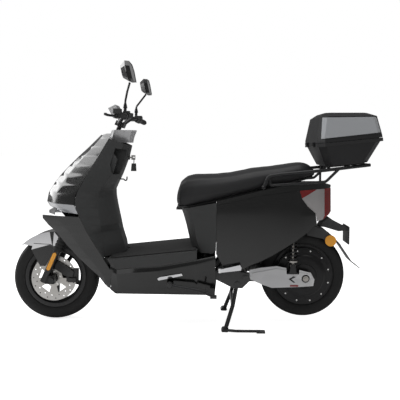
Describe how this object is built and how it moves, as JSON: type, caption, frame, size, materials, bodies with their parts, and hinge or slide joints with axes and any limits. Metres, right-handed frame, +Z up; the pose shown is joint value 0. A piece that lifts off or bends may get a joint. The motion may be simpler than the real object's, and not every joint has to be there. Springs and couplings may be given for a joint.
{
  "type": "moped scooter",
  "caption": "Electric moped scooter with step-through floor, hinged seat, rear rack with top box, mirrors, centre and side stands.",
  "frame": {"origin": "centre of the bounding box's bottom face, on the ground", "axes": "+X forward, +Y to the rider's left, +Z up"},
  "size_m": [1.989, 0.7676, 1.3742],
  "materials": {
    "black_gloss": "gloss",
    "dark_plastic": "matt, grained",
    "box_black": "textured",
    "silver_window": "gloss",
    "silver_paint": "satin",
    "chrome": "polished",
    "black_steel": "semi-gloss",
    "steel": "satin",
    "alloy": "cast",
    "black_alloy": "satin",
    "tyre": "matt",
    "rubber": "matt",
    "vinyl": "grained vinyl",
    "lens": "clear",
    "red_lens": "gloss",
    "mirror": "gloss"
  },
  "bodies": {
    "frame": {"main_frame": "black_steel", "frame_brackets": "black_steel", "front_cowl": "black_gloss", "headlight": "lens", "bright_trims": "chrome", "front_lower_panels": "black_gloss", "under_covers": "dark_plastic", "leg_shield": "dark_plastic", "storage_bins": "dark_plastic", "floor_board": "dark_plastic", "floor_mat": "rubber", "side_skirts": "black_gloss", "power_units": "dark_plastic", "seat_column": "dark_plastic", "side_panels": "black_gloss", "tail_cover": "black_gloss", "tail_lamp": "red_lens", "rear_mudguard": "dark_plastic", "plate_bracket": "dark_plastic", "rear_rack": "black_steel", "box_base": "box_black"},
    "seat": {"seat_pan": "dark_plastic", "seat_cushion": "vinyl"},
    "lid": {"box_lid": "box_black", "box_windows": "silver_window"},
    "latch": {"box_latch": "box_black"},
    "steering": {"steering_stem": "black_steel", "handlebar": "black_steel", "bar_controls": "dark_plastic", "stem_cover": "silver_paint"},
    "throttle": {"throttle_grip": "rubber"},
    "lever_left": {"brake_lever_left": "alloy"},
    "lever_right": {"brake_lever_right": "alloy"},
    "mirror_l": {"mirror_left": "mirror"},
    "mirror_r": {"mirror_right": "mirror"},
    "fork_lower": {"fork_sliders": "black_alloy", "fork_boots": "rubber", "front_fender": "black_gloss", "brake_caliper": "black_alloy"},
    "front_wheel": {"front_tyre": "tyre", "front_rim": "black_alloy", "front_disc": "steel"},
    "swing": {"swingarm": "black_steel", "arm_covers": "silver_paint", "rear_axle": "steel"},
    "rear_wheel": {"rear_tyre": "tyre", "rear_rim": "black_alloy", "motor_covers": "black_alloy"},
    "shock_upper": {"shock_bodies": "black_steel", "shock_springs": "black_steel"},
    "shock_lower": {"shock_rods": "steel"},
    "stand_centre": {"centre_stand": "black_steel"},
    "stand_side": {"side_stand": "black_steel"},
    "peg_l": {"peg_left": "chrome"},
    "peg_r": {"peg_right": "chrome"},
    "key": {"ignition_key": "steel"},
    "fob": {"key_fob": "dark_plastic"},
    "horn": {"horn_button": "dark_plastic"},
    "beam": {"beam_button": "dark_plastic"},
    "start": {"start_button": "dark_plastic"}
  },
  "joints": [
    {"name": "steer", "type": "hinge", "parent": "frame", "child": "steering", "pos_m": [0.412, 0, 1.103], "axis": [-0.3907, 0, 0.9205], "range_deg": [-32, 32]},
    {"name": "throttle_turn", "type": "hinge", "parent": "steering", "child": "throttle", "pos_m": [0.34216, -0.345, 1.10507], "axis": [-0.1194, -0.9897, -0.0796], "range_deg": [0, 70], "stiffness_Nm_per_rad": 0.3, "springref_deg": -22.92},
    {"name": "lever_left_pull", "type": "hinge", "parent": "steering", "child": "lever_left", "pos_m": [0.41009, 0.17973, 1.11535], "axis": [0, 0, 1], "range_deg": [0, 15], "stiffness_Nm_per_rad": 2, "springref_deg": -17.19},
    {"name": "lever_right_pull", "type": "hinge", "parent": "steering", "child": "lever_right", "pos_m": [0.41009, -0.17973, 1.11535], "axis": [0, 0, -1], "range_deg": [0, 15], "stiffness_Nm_per_rad": 2, "springref_deg": -17.19},
    {"name": "mirror_left_turn", "type": "hinge", "parent": "steering", "child": "mirror_l", "pos_m": [0.36609, 0.17973, 1.15665], "axis": [0, 0, 1], "range_deg": [-25, 25]},
    {"name": "mirror_right_turn", "type": "hinge", "parent": "steering", "child": "mirror_r", "pos_m": [0.36609, -0.17973, 1.15665], "axis": [0, 0, 1], "range_deg": [-25, 25]},
    {"name": "seat_open", "type": "hinge", "parent": "frame", "child": "seat", "pos_m": [0.097, 0, 0.619], "axis": [0, 1, 0], "range_deg": [0, 70]},
    {"name": "lid_open", "type": "hinge", "parent": "frame", "child": "lid", "pos_m": [-0.63039, 0, 0.98662], "axis": [0, 1, 0], "range_deg": [0, 80]},
    {"name": "latch_open", "type": "hinge", "parent": "lid", "child": "latch", "pos_m": [-0.98425, 0, 1.0521], "axis": [0, 1, 0], "range_deg": [0, 60]},
    {"name": "fork_travel", "type": "slide", "parent": "steering", "child": "fork_lower", "axis": [-0.3907, 0, 0.9205], "range_m": [-0.02, 0.04], "stiffness_N_per_m": 10000, "springref_m": -0.03},
    {"name": "front_spin", "type": "hinge", "parent": "fork_lower", "child": "front_wheel", "pos_m": [0.7615, 0, 0.233], "axis": [0, 1, 0], "continuous": true},
    {"name": "swing_pivot", "type": "hinge", "parent": "frame", "child": "swing", "pos_m": [-0.277, 0, 0.27], "axis": [0, 1, 0], "range_deg": [0, 6], "stiffness_Nm_per_rad": 2000, "springref_deg": -5.73},
    {"name": "rear_spin", "type": "hinge", "parent": "swing", "child": "rear_wheel", "pos_m": [-0.5985, 0, 0.267], "axis": [0, 1, 0], "continuous": true},
    {"name": "shock_tilt", "type": "hinge", "parent": "frame", "child": "shock_upper", "pos_m": [-0.53, 0, 0.575], "axis": [0, 1, 0], "range_deg": [-2.3, 0]},
    {"name": "shock_stroke", "type": "slide", "parent": "shock_upper", "child": "shock_lower", "axis": [0, 0, 1], "range_m": [0, 0.0265], "deforming": ["shock_springs"]},
    {"name": "centre_stand_fold", "type": "hinge", "parent": "frame", "child": "stand_centre", "pos_m": [-0.235, 0, 0.235], "axis": [0, 1, 0], "range_deg": [0, 75]},
    {"name": "side_stand_fold", "type": "hinge", "parent": "frame", "child": "stand_side", "pos_m": [0.118, 0.198, 0.246], "axis": [0, -1, 0], "range_deg": [0, 60], "stiffness_Nm_per_rad": 2, "springref_deg": -28.65},
    {"name": "peg_left_fold", "type": "hinge", "parent": "frame", "child": "peg_l", "pos_m": [-0.14, 0.19, 0.32], "axis": [0, 0, -1], "range_deg": [0, 85]},
    {"name": "peg_right_fold", "type": "hinge", "parent": "frame", "child": "peg_r", "pos_m": [-0.14, -0.19, 0.32], "axis": [0, 0, 1], "range_deg": [0, 85]},
    {"name": "key_turn", "type": "hinge", "parent": "frame", "child": "key", "pos_m": [0.3738, 0, 0.895], "axis": [1, 0, 0], "range_deg": [0, 90]},
    {"name": "fob_swing", "type": "hinge", "parent": "key", "child": "fob", "pos_m": [0.3458, 0, 0.895], "axis": [0, 1, 0], "range_deg": [-15, 15]},
    {"name": "horn_press", "type": "slide", "parent": "steering", "child": "horn", "axis": [1, 0, 0], "range_m": [0, 0.0025], "stiffness_N_per_m": 400, "springref_m": -0.001},
    {"name": "beam_press", "type": "slide", "parent": "steering", "child": "beam", "axis": [1, 0, 0], "range_m": [0, 0.0025], "stiffness_N_per_m": 400, "springref_m": -0.001},
    {"name": "start_press", "type": "slide", "parent": "steering", "child": "start", "axis": [1, 0, 0], "range_m": [0, 0.0025], "stiffness_N_per_m": 400, "springref_m": -0.001}
  ],
  "couplings": [
    {"joint": "shock_tilt", "follows": "swing_pivot", "ratio": -0.3524},
    {"joint": "shock_stroke", "follows": "swing_pivot", "m_per_rad": 0.2478}
  ]
}
